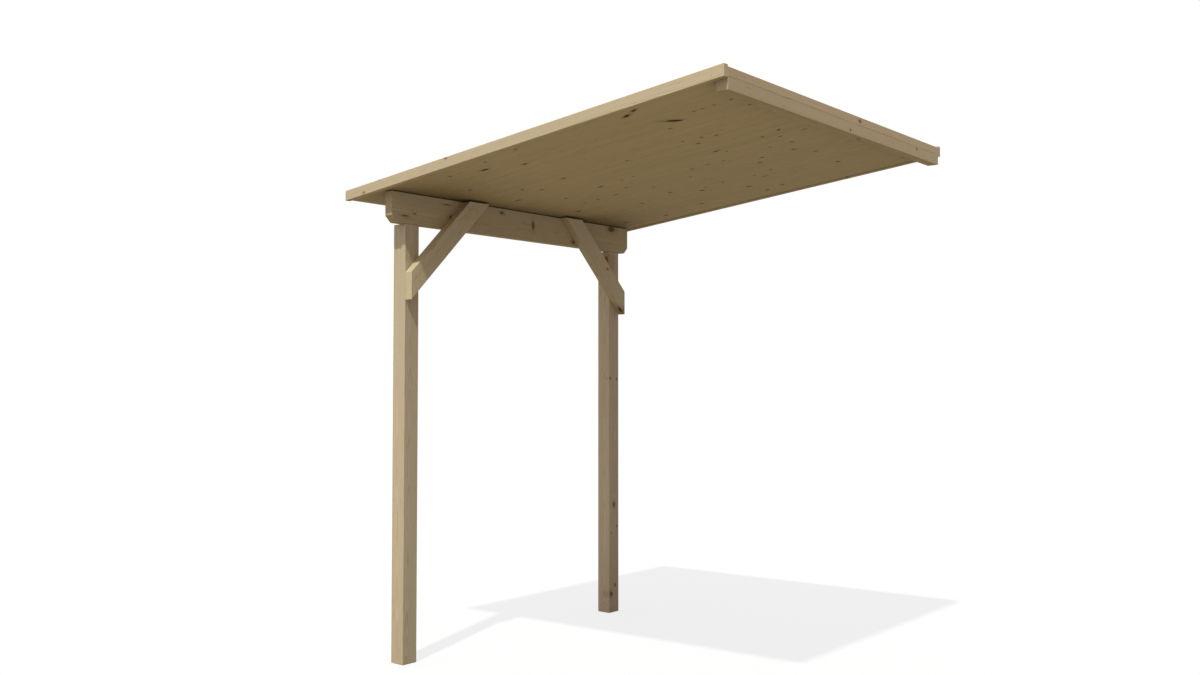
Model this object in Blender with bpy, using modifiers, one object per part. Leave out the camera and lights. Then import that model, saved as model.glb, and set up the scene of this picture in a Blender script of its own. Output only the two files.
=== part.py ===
"""Side canopy: a lean-to roof of tongue and groove boards on two braced posts and a wall ledger.

Metres, +Z up. The origin is the middle of the ledger's wall face, +Y points into the wall and
+X to the right of someone who stands outside and faces the wall. Heights in the driving
dimensions are measured from the ground, and lengths along the roof are measured level.
"""
import math

import bmesh
import bpy
from mathutils import Matrix

# Fit between pieces that touch
FIT_GAP = 0.0003

# Posts
POST_WIDTH = 0.090
POST_PITCH = 1.626
POST_ARRIS = 0.003

# Eave beam, on edge on the post tops
BEAM_UNDERSIDE = 2.213
BEAM_HEIGHT = 0.156
BEAM_THICKNESS = 0.050
BEAM_OVERHANG = 0.090
BEAM_END_CHAMFER = 0.033

# Braces, lapped on the inner faces of post and beam
BRACE_WIDTH = 0.100
BRACE_THICKNESS = 0.050
BRACE_ANGLE = math.radians(45)
BRACE_FOOT_BELOW_BEAM = 0.3885

# Roof
ROOF_PITCH = math.radians(6)
ROOF_DEPTH = 2.310
EAVE_OVERHANG = 0.198
SIDE_OVERHANG = 0.154

# Tongue and groove boards
BOARD_THICKNESS = 0.019
BOARD_COVER = 0.109
TONGUE_LENGTH = 0.008
TONGUE_THICKNESS = 0.006
GROOVE_END_ROOM = 0.001
BOARD_CHAMFER = 0.001

# Side fascias, end boards and wall ledger
FASCIA_THICKNESS = 0.028
FASCIA_HEIGHT = 0.051
FASCIA_DROP = 0.006
END_BOARD_THICKNESS = 0.020
END_BOARD_HEIGHT = 0.0375
LEDGER_THICKNESS = 0.055
LEDGER_FACE_HEIGHT = 0.052

# Planed timber has its arrises eased
TIMBER_ARRIS = 0.002
ARRIS_SEGMENTS = 2
SHARP_ANGLE = math.radians(30)

# Points of an outline's caps and sides closer than this are one
WELD_DISTANCE = 0.00001

# Places worked out from the driving dimensions
SLOPE = math.tan(ROOF_PITCH)
POST_OUTER_Y = EAVE_OVERHANG - ROOF_DEPTH
POST_INNER_Y = POST_OUTER_Y + POST_WIDTH
BEAM_OUTER_Y = POST_INNER_Y - BEAM_THICKNESS
BEAM_TOP = BEAM_UNDERSIDE + BEAM_HEIGHT
POST_SIDE_X = (POST_PITCH + POST_WIDTH) / 2
ROOF_SIDE_X = POST_SIDE_X + SIDE_OVERHANG
FASCIA_INNER_X = ROOF_SIDE_X - FASCIA_THICKNESS
INFILL_SIDE_X = FASCIA_INNER_X - FIT_GAP
WALL_SOFFIT = BEAM_TOP + FIT_GAP - BEAM_OUTER_Y * SLOPE
ORIGIN_HEIGHT = WALL_SOFFIT - FIT_GAP - LEDGER_FACE_HEIGHT / 2

# Finishes: colour and roughness
FRAME_PINE = (0.52, 0.44, 0.28)
FRAME_ROUGHNESS = 0.7
ROOF_PINE = (0.47, 0.38, 0.23)
ROOF_ROUGHNESS = 0.75


def soffit(y):
    """Height above the origin of the boards' underside at a distance y from the wall."""
    return WALL_SOFFIT + y * SLOPE - ORIGIN_HEIGHT


def clear_scene():
    """Remove every object of the scene."""
    for obj in list(bpy.data.objects):
        bpy.data.objects.remove(obj, do_unlink=True)


def make_collection(name):
    """A new collection under the scene's own."""
    collection = bpy.data.collections.new(name)
    bpy.context.scene.collection.children.link(collection)
    return collection


def make_material(name, colour, roughness):
    """A Principled material of one colour."""
    material = bpy.data.materials.new(name)
    material.use_nodes = True
    shader = material.node_tree.nodes["Principled BSDF"]
    shader.inputs["Base Color"].default_value = (*colour, 1.0)
    shader.inputs["Roughness"].default_value = roughness
    shader.inputs["Metallic"].default_value = 0.0
    return material


def ease_arrises(obj, width):
    """Round the long edges and the ends of a planed timber."""
    bevel = obj.modifiers.new("arrises", "BEVEL")
    bevel.width = width
    bevel.segments = ARRIS_SEGMENTS
    bevel.limit_method = "ANGLE"
    bevel.angle_limit = SHARP_ANGLE


def add_piece(name, mesh, collection, material):
    """An object for a finished mesh, named as the piece is."""
    mesh.name = name
    mesh.materials.clear()
    mesh.materials.append(material)
    obj = bpy.data.objects.new(name, mesh)
    collection.objects.link(obj)
    return obj


def box_mesh(size_x, size_y, size_z):
    """A box with its middle at the origin."""
    mesh = bpy.data.meshes.new("box")
    bm = bmesh.new()
    bmesh.ops.create_cube(bm, size=1.0, matrix=Matrix.Diagonal((size_x, size_y, size_z, 1.0)))
    bm.to_mesh(mesh)
    bm.free()
    return mesh


def outline_mesh(points, thickness, collection):
    """A flat outline in XY, extruded along Z to a thickness, as a closed mesh."""
    curve = bpy.data.curves.new("outline", "CURVE")
    curve.dimensions = "2D"
    curve.fill_mode = "BOTH"
    curve.extrude = thickness / 2
    spline = curve.splines.new("POLY")
    spline.points.add(len(points) - 1)
    for spline_point, (x, y) in zip(spline.points, points):
        spline_point.co = (x, y, 0.0, 1.0)
    spline.use_cyclic_u = True
    guide = bpy.data.objects.new("outline", curve)
    collection.objects.link(guide)
    bpy.context.view_layer.update()
    depsgraph = bpy.context.evaluated_depsgraph_get()
    mesh = bpy.data.meshes.new_from_object(guide.evaluated_get(depsgraph))
    bpy.data.objects.remove(guide, do_unlink=True)
    bpy.data.curves.remove(curve)
    bm = bmesh.new()
    bm.from_mesh(mesh)
    bmesh.ops.remove_doubles(bm, verts=bm.verts, dist=WELD_DISTANCE)
    bmesh.ops.recalc_face_normals(bm, faces=bm.faces)
    bm.to_mesh(mesh)
    bm.free()
    return mesh


def front_piece(name, outline, thickness, middle_y, collection, material):
    """A piece whose outline is drawn in X and Z, as seen from outside, and has a thickness in Y."""
    obj = add_piece(name, outline_mesh(outline, thickness, collection), collection, material)
    obj.rotation_euler = (math.radians(90), 0, 0)
    obj.location = (0, middle_y, 0)
    return obj


def side_piece(name, outline, width, collection, material):
    """A piece whose outline is drawn in Y and Z, as seen from the side, centred on the canopy."""
    obj = add_piece(name, outline_mesh(outline, width, collection), collection, material)
    obj.rotation_euler = (math.radians(90), 0, math.radians(90))
    return obj


def roof_piece(name, section, start_y, end_y, collection, material):
    """A piece of the roof with a section in X and height above the soffit, cut plumb at both ends.

    The section runs from start_y to end_y and climbs with the roof.
    """
    mesh = outline_mesh(section, end_y - start_y, collection)
    climb = Matrix.Identity(4)
    climb[1][2] = -SLOPE
    mesh.transform(climb)
    obj = add_piece(name, mesh, collection, material)
    middle_y = (start_y + end_y) / 2
    obj.rotation_euler = (math.radians(90), 0, 0)
    obj.location = (0, middle_y, soffit(middle_y))
    return obj


def rectangle(left, right, bottom, top):
    """The four corners of a rectangle."""
    return [(left, bottom), (right, bottom), (right, top), (left, top)]


def mirrored(points):
    """The same outline on the other side of the canopy."""
    return [(-x, z) for x, z in reversed(points)]


def make_posts(collection, material):
    """Two square posts from the ground to the underside of the beam."""
    height = BEAM_UNDERSIDE - FIT_GAP
    for name, side in (("post_left", -1), ("post_right", 1)):
        post = add_piece(name, box_mesh(POST_WIDTH, POST_WIDTH, height), collection, material)
        post.location = (side * POST_PITCH / 2, POST_OUTER_Y + POST_WIDTH / 2, height / 2 - ORIGIN_HEIGHT)
        ease_arrises(post, POST_ARRIS)


def beam_outline():
    """The beam from the front, with both lower corners cut off."""
    end_x = POST_SIDE_X + BEAM_OVERHANG
    bottom = BEAM_UNDERSIDE - ORIGIN_HEIGHT
    top = BEAM_TOP - ORIGIN_HEIGHT
    right_half = [
        (end_x - BEAM_END_CHAMFER, bottom),
        (end_x, bottom + BEAM_END_CHAMFER),
        (end_x, top),
    ]
    return right_half + mirrored(right_half)


def make_beam(collection, material):
    """The eave beam, its inner face flush with the posts'."""
    middle_y = BEAM_OUTER_Y + BEAM_THICKNESS / 2
    beam = front_piece("eave_beam", beam_outline(), BEAM_THICKNESS, middle_y, collection, material)
    ease_arrises(beam, TIMBER_ARRIS)


def brace_outline():
    """The right brace from the front: plumb foot at the post's outer face, top level with the beam's."""
    rise = math.tan(BRACE_ANGLE)
    foot = BEAM_UNDERSIDE - BRACE_FOOT_BELOW_BEAM - ORIGIN_HEIGHT
    shoulder = foot + BRACE_WIDTH / math.cos(BRACE_ANGLE)
    top = BEAM_TOP - ORIGIN_HEIGHT
    return [
        (POST_SIDE_X, foot),
        (POST_SIDE_X, shoulder),
        (POST_SIDE_X - (top - shoulder) / rise, top),
        (POST_SIDE_X - (top - foot) / rise, top),
    ]


def make_braces(collection, material):
    """One brace in each corner of the front, on the wall side of post and beam."""
    middle_y = POST_INNER_Y + FIT_GAP + BRACE_THICKNESS / 2
    right = brace_outline()
    for name, outline in (("brace_left", mirrored(right)), ("brace_right", right)):
        brace = front_piece(name, outline, BRACE_THICKNESS, middle_y, collection, material)
        ease_arrises(brace, TIMBER_ARRIS)


def make_ledger(collection, material):
    """The wall ledger, level below, its top planed to the pitch of the boards that rest on it."""
    bottom = soffit(0.0) - FIT_GAP - LEDGER_FACE_HEIGHT
    outline = [
        (-LEDGER_THICKNESS, bottom),
        (0.0, bottom),
        (0.0, soffit(0.0) - FIT_GAP),
        (-LEDGER_THICKNESS, soffit(-LEDGER_THICKNESS) - FIT_GAP),
    ]
    ledger = side_piece("wall_ledger", outline, 2 * INFILL_SIDE_X, collection, material)
    ease_arrises(ledger, TIMBER_ARRIS)


def make_fascias(collection, material):
    """The fascias along both sides of the roof."""
    section = rectangle(FASCIA_INNER_X, ROOF_SIDE_X, -FASCIA_DROP, FASCIA_HEIGHT - FASCIA_DROP)
    for name, outline in (("side_fascia_left", mirrored(section)), ("side_fascia_right", section)):
        fascia = roof_piece(name, outline, -ROOF_DEPTH, 0.0, collection, material)
        ease_arrises(fascia, TIMBER_ARRIS)


def make_end_boards(collection, material):
    """The boards that close the roof at the wall and at the eave, between the fascias."""
    section = rectangle(-INFILL_SIDE_X, INFILL_SIDE_X, 0.0, END_BOARD_HEIGHT)
    starts = {"wall_trim": -END_BOARD_THICKNESS, "eave_trim": -ROOF_DEPTH}
    for name, start_y in starts.items():
        board = roof_piece(name, section, start_y, start_y + END_BOARD_THICKNESS, collection, material)
        ease_arrises(board, TIMBER_ARRIS)


def board_section(left, right, grooved, tongued):
    """A board's section, with a groove on its left edge and a tongue on its right."""
    top = BOARD_THICKNESS / math.cos(ROOF_PITCH)
    middle = top / 2
    tongue = TONGUE_THICKNESS / 2
    groove = tongue + FIT_GAP
    groove_bottom = left + TONGUE_LENGTH + GROOVE_END_ROOM
    points = []
    if tongued:
        points += [
            (right - BOARD_CHAMFER, 0.0),
            (right, BOARD_CHAMFER),
            (right, middle - tongue),
            (right + TONGUE_LENGTH, middle - tongue),
            (right + TONGUE_LENGTH, middle + tongue),
            (right, middle + tongue),
            (right, top),
        ]
    else:
        points += [(right, 0.0), (right, top)]
    if grooved:
        points += [
            (left, top),
            (left, middle + groove),
            (groove_bottom, middle + groove),
            (groove_bottom, middle - groove),
            (left, middle - groove),
            (left, BOARD_CHAMFER),
            (left + BOARD_CHAMFER, 0.0),
        ]
    else:
        points += [(left, top), (left, 0.0)]
    return points


def make_roof_boards(collection, material):
    """The tongue and groove boards, laid from one fascia to the other."""
    width = 2 * INFILL_SIDE_X
    count = round(width / BOARD_COVER)
    cover = (width + FIT_GAP) / count
    start_y = -ROOF_DEPTH + END_BOARD_THICKNESS + FIT_GAP
    end_y = -END_BOARD_THICKNESS - FIT_GAP
    for index in range(count):
        left = -INFILL_SIDE_X + index * cover
        right = left + cover - FIT_GAP
        section = board_section(left, right, grooved=index > 0, tongued=index < count - 1)
        name = f"roof_board_{index + 1:02d}"
        roof_piece(name, section, start_y, end_y, collection, material)


def main():
    """Build every piece of the canopy."""
    clear_scene()
    canopy = make_collection("side_canopy")
    frame_timber = make_material("treated_pine_frame", FRAME_PINE, FRAME_ROUGHNESS)
    roof_timber = make_material("treated_pine_roof", ROOF_PINE, ROOF_ROUGHNESS)
    make_posts(canopy, frame_timber)
    make_beam(canopy, frame_timber)
    make_braces(canopy, frame_timber)
    make_ledger(canopy, frame_timber)
    make_fascias(canopy, frame_timber)
    make_end_boards(canopy, frame_timber)
    make_roof_boards(canopy, roof_timber)


main()
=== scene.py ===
"""Looks of the side canopy: treated pine timbers, boards and their fixings in a plain pale studio.

Metres, +Z up, in the frame's own axes: the origin is the middle of the ledger's wall face, +Y points
into the wall and +X to the right of someone who stands outside. Each timber is modelled along its own
X axis, the way its grain runs, and is then turned and moved to its place.
"""

import logging
import math
import random
from collections.abc import Callable, Sequence
from dataclasses import dataclass, field, replace
from enum import Enum

import bmesh
import bpy
from mathutils import Matrix, Vector


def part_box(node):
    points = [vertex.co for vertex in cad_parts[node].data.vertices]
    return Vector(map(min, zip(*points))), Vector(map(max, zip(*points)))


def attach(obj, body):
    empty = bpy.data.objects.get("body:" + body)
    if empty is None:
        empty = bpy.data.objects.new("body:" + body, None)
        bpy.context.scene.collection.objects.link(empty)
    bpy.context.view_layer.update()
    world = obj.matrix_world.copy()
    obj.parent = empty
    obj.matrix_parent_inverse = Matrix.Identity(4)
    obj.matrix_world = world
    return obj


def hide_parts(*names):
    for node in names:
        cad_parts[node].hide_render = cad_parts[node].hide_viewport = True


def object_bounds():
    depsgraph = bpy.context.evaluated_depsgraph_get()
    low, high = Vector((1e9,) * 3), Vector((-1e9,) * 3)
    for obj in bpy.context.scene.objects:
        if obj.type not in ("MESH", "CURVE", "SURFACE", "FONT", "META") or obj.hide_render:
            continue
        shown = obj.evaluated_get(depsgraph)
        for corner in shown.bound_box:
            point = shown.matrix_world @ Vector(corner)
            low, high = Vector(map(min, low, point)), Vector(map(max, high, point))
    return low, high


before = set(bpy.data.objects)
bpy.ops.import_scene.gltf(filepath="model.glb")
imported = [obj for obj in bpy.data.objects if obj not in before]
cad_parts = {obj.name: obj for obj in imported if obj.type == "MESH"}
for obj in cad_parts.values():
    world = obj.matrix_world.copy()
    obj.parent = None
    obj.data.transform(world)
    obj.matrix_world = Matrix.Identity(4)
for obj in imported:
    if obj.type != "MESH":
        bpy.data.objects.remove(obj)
CAD_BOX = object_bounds()

BODY = "root"
LOG = logging.getLogger("side_canopy")

Colour = tuple[float, float, float]
Point = tuple[float, float]
Place = tuple[float, float, float]
Span = tuple[float, float]
Socket = bpy.types.NodeSocket
Value = float | Socket

WHITE: Colour = (1, 1, 1)
ALONG_GRAIN: Place = (1, 0, 0)
NOISE_MIDDLE = 0.5
ROOF_PITCH = math.radians(6)
SLOPE = math.tan(ROOF_PITCH)
SHARP_EDGE = math.radians(30)
SHADING_EDGE = math.radians(40)


def channel(value: int) -> float:
    """One channel of a screen colour, from 0 to 255, as linear light."""
    share = value / 255
    return share / 12.92 if share <= 0.04045 else ((share + 0.055) / 1.055) ** 2.4


def linear(red: int, green: int, blue: int) -> Colour:
    """A screen colour from 0 to 255 as the linear colour that a shader takes."""
    return (channel(red), channel(green), channel(blue))


class Sketch:
    """Draws nodes into one node tree and links them.

    Attributes:
        tree: the node tree.
    """

    def __init__(self, tree: bpy.types.NodeTree) -> None:
        """Keep the tree to draw in."""
        self.tree = tree

    def feed(self, socket: Socket, value: Value | Colour | Place) -> None:
        """Link a socket to an input, or set a plain value on it.

        Args:
            socket: the input.
            value: what goes into it.
        """
        if isinstance(value, bpy.types.NodeSocket):
            self.tree.links.new(value, socket)
        elif socket.type == "RGBA":
            socket.default_value = (*value, 1.0)
        else:
            socket.default_value = value

    def node(self, kind: str, **inputs: Value | Colour | Place) -> bpy.types.Node:
        """A node of a kind.

        Args:
            kind: the type of the node.
            inputs: what goes into its inputs, by name, with underscores for spaces.

        Returns:
            The node.
        """
        node = self.tree.nodes.new(kind)
        for name, value in inputs.items():
            self.feed(node.inputs[name.replace("_", " ")], value)
        return node

    def math(self, operation: str, *values: Value) -> Socket:
        """Arithmetic on one to three numbers.

        Args:
            operation: the kind of arithmetic.
            values: the numbers.

        Returns:
            The number that comes out.
        """
        node = self.tree.nodes.new("ShaderNodeMath")
        node.operation = operation
        for socket, value in zip(node.inputs, values):
            self.feed(socket, value)
        return node.outputs[0]

    def plus(self, first: Value, second: Value) -> Socket:
        """The sum of two numbers."""
        return self.math("ADD", first, second)

    def minus(self, first: Value, second: Value) -> Socket:
        """The first number less the second."""
        return self.math("SUBTRACT", first, second)

    def times(self, first: Value, second: Value) -> Socket:
        """The product of two numbers."""
        return self.math("MULTIPLY", first, second)

    def vector(self, operation: str, *values: Value | Place) -> Socket:
        """Arithmetic on vectors.

        Args:
            operation: the kind of arithmetic.
            values: the vectors.

        Returns:
            The vector that comes out, or the number that a dot product or a length gives.
        """
        node = self.tree.nodes.new("ShaderNodeVectorMath")
        node.operation = operation
        for socket, value in zip(node.inputs, values):
            self.feed(socket, value)
        return node.outputs["Value" if operation in {"DOT_PRODUCT", "LENGTH"} else "Vector"]

    def scaled(self, vector: Socket, factor: Value) -> Socket:
        """A vector or colour times a number.

        Args:
            vector: the vector or colour.
            factor: the number.

        Returns:
            The product.
        """
        node = self.tree.nodes.new("ShaderNodeVectorMath")
        node.operation = "SCALE"
        self.feed(node.inputs[0], vector)
        self.feed(node.inputs["Scale"], factor)
        return node.outputs["Vector"]

    def noise(self, place: Socket, cells: Place, detail: float, roughness: float = 0.5) -> bpy.types.Node:
        """A noise texture at a place, with its cells for each metre along every axis."""
        there = self.vector("MULTIPLY", place, cells)
        return self.node("ShaderNodeTexNoise", Vector=there, Scale=1.0, Detail=detail, Roughness=roughness)

    def ramp(self, value: Socket, low: float, high: float, start: float = 0.0, end: float = 1.0) -> Socket:
        """A smooth step of a number.

        Args:
            value: the number.
            low: where the step begins.
            high: where it is done.
            start: what comes out up to its beginning.
            end: what comes out from its end on.

        Returns:
            The stepped number.
        """
        node = self.tree.nodes.new("ShaderNodeMapRange")
        node.interpolation_type = "SMOOTHSTEP"
        settings = {"Value": value, "From Min": low, "From Max": high, "To Min": start, "To Max": end}
        for name, setting in settings.items():
            self.feed(node.inputs[name], setting)
        return node.outputs["Result"]

    def blend(self, share: Value, first: Socket | Colour, second: Socket | Colour) -> Socket:
        """One colour turning into another.

        Args:
            share: how much of the second there is, from 0 to 1.
            first: the colour at 0.
            second: the colour at 1.

        Returns:
            The colour between them.
        """
        node = self.tree.nodes.new("ShaderNodeMix")
        node.data_type = "RGBA"
        colour_inputs = [socket for socket in node.inputs if socket.type == "RGBA"]
        self.feed(node.inputs[0], share)
        for socket, colour in zip(colour_inputs, (first, second)):
            self.feed(socket, colour)
        return next(socket for socket in node.outputs if socket.type == "RGBA")


Labels = dict[str, tuple[str, ...]]
Sockets = dict[str, Socket]
Group = tuple[bpy.types.NodeTree, Sketch, Sockets, bpy.types.Node]


class Side(Enum):
    """Which way a face of a timber looks in the frame."""

    UP = (0, 0, 1)
    DOWN = (0, 0, -1)
    WALL = (0, 1, 0)
    OUTSIDE = (0, -1, 0)
    RIGHT = (1, 0, 0)
    LEFT = (-1, 0, 0)


class Slot(Enum):
    """The record's material slots."""

    POST = "post_timber"
    FRAME = "frame_timber"
    EDGE = "edge_timber"
    ROOF = "roof_boards"


class Cut(Enum):
    """Where the pith of the log lies from the middle of a timber's section, across it and through it."""

    BOXED_HEART = (0.012, -0.009)
    SIDE_OF_HEART = (-0.020, 0.046)
    FLAT_SAWN = (0.014, 0.062)
    RIFT_SAWN = (0.055, 0.040)


@dataclass(frozen=True)
class Knot:
    """A knot on a face of a timber.

    Attributes:
        place: the knot's middle, in the frame.
        side: the face that the branch grew out of.
        radius: half the knot's width.
        stretch: its length over its width.
        turn: how far its length is turned off the grain, in degrees.
        age: from 0 for a live knot, pale and without a rim, to 1 for a dead one, as dark as its bark.
    """

    place: Place
    side: Side
    radius: float = 0.006
    stretch: float = 1.3
    turn: float = 0.0
    age: float = 0.4


@dataclass(frozen=True)
class Grain:
    """How one timber was cut from its log.

    Attributes:
        cut: the place of the pith.
        seed: picks the timber's own stretch of wood.
        tone: how light the timber is beside its neighbours.
    """

    cut: Cut
    seed: int
    tone: float = 1.0


@dataclass(frozen=True)
class PineFinish:
    """Planed pine, pressure treated, without paint or oil.

    Attributes:
        early_wood: the wood between the rings.
        late_wood: the dark line of a ring.
        tint: the faint green that the treatment leaves in patches.
        knot_heart: the middle of a knot.
        knot_bark: the dark line round a knot.
        ring_width: how far the rings lie apart.
        figure: how strongly the rings show.
        end_shade: how much darker sawn ends are than faces.
        underside_shade: painted shade for faces that look down, darker and warmer in place of the weaker
            light from below.
        crease_shade: how strongly painted shade darkens the wood close to other timbers.
    """

    early_wood: Colour
    late_wood: Colour
    tint: Colour
    knot_heart: Colour
    knot_bark: Colour
    ring_width: float = 0.0032
    figure: float = 0.65
    end_shade: float = 1.0
    underside_shade: Colour = (0.86, 0.80, 0.68)
    crease_shade: float = 0.35


# Each finish's underside and crease values paint shade into its colour, under faces that look down and close
# to other timbers.
POST_PINE = PineFinish(
    early_wood=linear(209, 191, 158),
    late_wood=linear(183, 159, 118),
    tint=linear(191, 179, 137),
    knot_heart=linear(146, 114, 68),
    knot_bark=linear(84, 60, 34),
    crease_shade=0.10,
)
FRAME_PINE = PineFinish(
    early_wood=linear(205, 185, 146),
    late_wood=linear(177, 149, 103),
    tint=linear(184, 172, 121),
    knot_heart=linear(132, 108, 62),
    knot_bark=linear(78, 56, 30),
    end_shade=0.84,
    underside_shade=(0.82, 0.74, 0.56),
    crease_shade=0.04,
)
BRACE_PINE = PineFinish(
    early_wood=linear(217, 199, 162),
    late_wood=linear(188, 163, 118),
    tint=linear(197, 185, 136),
    knot_heart=linear(146, 116, 70),
    knot_bark=linear(86, 63, 36),
    underside_shade=(0.80, 0.75, 0.62),
    crease_shade=0.12,
)
EDGE_PINE = PineFinish(
    early_wood=linear(210, 191, 157),
    late_wood=linear(183, 157, 115),
    tint=linear(192, 179, 135),
    knot_heart=linear(152, 120, 78),
    knot_bark=linear(92, 67, 40),
    ring_width=0.0028,
    underside_shade=(0.92, 0.83, 0.60),
    crease_shade=0.10,
)
TRIM_PINE = replace(
    EDGE_PINE,
    early_wood=linear(212, 188, 151),
    late_wood=linear(186, 154, 109),
    tint=linear(195, 177, 130),
)
ROOF_PINE = PineFinish(
    early_wood=linear(212, 191, 157),
    late_wood=linear(181, 153, 108),
    tint=linear(191, 178, 132),
    knot_heart=linear(119, 88, 38),
    knot_bark=linear(64, 40, 8),
    ring_width=0.0026,
    figure=0.44,
    underside_shade=(0.869, 0.791, 0.546),
    crease_shade=1.35,
)


@dataclass(frozen=True)
class Mark:
    """A noise that marks the wood.

    Attributes:
        cells: its cells for each metre along, across and through the timber.
        detail: how many finer noises lie on it.
        shown: the noise at which the mark begins to show, and at which it shows in full.
        strength: how strongly it shows in colour or light, or how far it moves the wood.
        roughness: how strong its finer noises are.
    """

    cells: Place
    detail: float
    shown: Span = (0.0, 1.0)
    strength: float = 1.0
    roughness: float = 0.5

    def plain(self, draw: Sketch, place: Socket) -> Socket:
        """The noise itself at a place."""
        return draw.noise(place, self.cells, self.detail, self.roughness).outputs["Fac"]

    def stepped(self, draw: Sketch, place: Socket) -> Socket:
        """How far the mark shows at a place, from 0 to 1."""
        return draw.ramp(self.plain(draw, place), *self.shown)

    def shift(self, draw: Sketch, place: Socket) -> Socket:
        """A shift to any side at a place, of half the strength at most.

        Args:
            draw: the sketch to draw in.
            place: the point of the timber.

        Returns:
            The shift.
        """
        stray = draw.noise(place, self.cells, self.detail, self.roughness).outputs["Color"]
        return draw.scaled(draw.vector("SUBTRACT", stray, (NOISE_MIDDLE,) * 3), self.strength)


FIBRE = Mark((7, 420, 420), 3.0, strength=0.12, roughness=0.62)
STREAK = Mark((1.1, 34, 34), 2.0, strength=0.10)
CLOUD = Mark((1.4, 8, 8), 2.0, strength=0.06)
TINT_PATCH = Mark((0.8, 13, 13), 1.0, (0.42, 0.68), 0.30)
DASH = Mark((16, 760, 760), 1.0, (0.62, 0.76), 0.30)
FLECK = Mark((11, 150, 150), 1.0, (0.66, 0.78), 0.45)


@dataclass(frozen=True)
class YearRings:
    """The rings of the log, cut where the timber's faces cut them.

    Attributes:
        sway: how the pith wanders off its line.
        ripple: how a ring wavers.
        knot_push: how far a ring is pushed out at a knot, in knot radii.
        knot_fade: how soon that fades with each knot radius.
        good_years: how often wide and narrow rings take turns, for each ring.
        good_year_shift: how far that shifts the rings, in rings.
        rise: the shares of a ring between which the late wood darkens.
        fall: the shares between which it breaks off.
        faintest: how dark the faintest ring is beside the strongest.
    """

    sway: Mark = Mark((0.9, 2, 2), 1.0, strength=0.030)
    ripple: Mark = Mark((6, 34, 34), 2.0, strength=0.0030)
    knot_push: float = 1.7
    knot_fade: float = 0.75
    good_years: float = 0.23
    good_year_shift: float = 2.6
    rise: Span = (0.30, 0.90)
    fall: Span = (0.92, 1.0)
    faintest: float = 0.55

    def radius(self, draw: Sketch, given: Sockets, there: Socket) -> Socket:
        """How far a point of the timber is from the pith.

        Args:
            draw: the sketch of the wood group.
            given: the group's inputs by name.
            there: the point in the timber's own stretch of wood.

        Returns:
            The distance, with the sway, the ripple and the push of the knots in it.
        """
        length = draw.vector("DOT_PRODUCT", given["Wood"], ALONG_GRAIN)
        pith = draw.vector("ADD", given["Pith"], draw.scaled(given["Lean"], length))
        section = draw.vector("SUBTRACT", given["Wood"], pith)
        section = draw.vector("ADD", section, self.sway.shift(draw, there))
        plain = draw.vector("LENGTH", draw.vector("MULTIPLY", section, (0, 1, 1)))
        waver = draw.minus(self.ripple.plain(draw, there), NOISE_MIDDLE)
        rippled = draw.plus(plain, draw.times(waver, self.ripple.strength))
        push = draw.math("EXPONENT", draw.times(given["Nearest Knot"], -self.knot_fade))
        return draw.plus(rippled, draw.times(push, draw.times(given["Knot Radius"], self.knot_push)))

    def late_wood(self, draw: Sketch, given: Sockets, there: Socket) -> Socket:
        """How far a point of the timber is in late wood.

        Args:
            draw: the sketch of the wood group.
            given: the group's inputs by name.
            there: the point in the timber's own stretch of wood.

        Returns:
            A share from 0 to 1.
        """
        years = draw.math("DIVIDE", self.radius(draw, given, there), given["Ring Width"])
        weather = draw.tree.nodes.new("ShaderNodeTexNoise")
        weather.noise_dimensions = "1D"
        draw.feed(weather.inputs["W"], draw.times(years, self.good_years))
        draw.feed(weather.inputs["Scale"], 1.0)
        years = draw.plus(years, draw.times(weather.outputs["Fac"], self.good_year_shift))
        share = draw.math("FRACT", years)
        dark = draw.times(draw.ramp(share, *self.rise), draw.ramp(share, *self.fall, 1.0, 0.0))
        chance = draw.tree.nodes.new("ShaderNodeTexWhiteNoise")
        chance.noise_dimensions = "1D"
        draw.feed(chance.inputs["W"], draw.math("FLOOR", years))
        strength = draw.plus(self.faintest, draw.times(chance.outputs["Value"], 1.0 - self.faintest))
        return draw.times(dark, strength)


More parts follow.
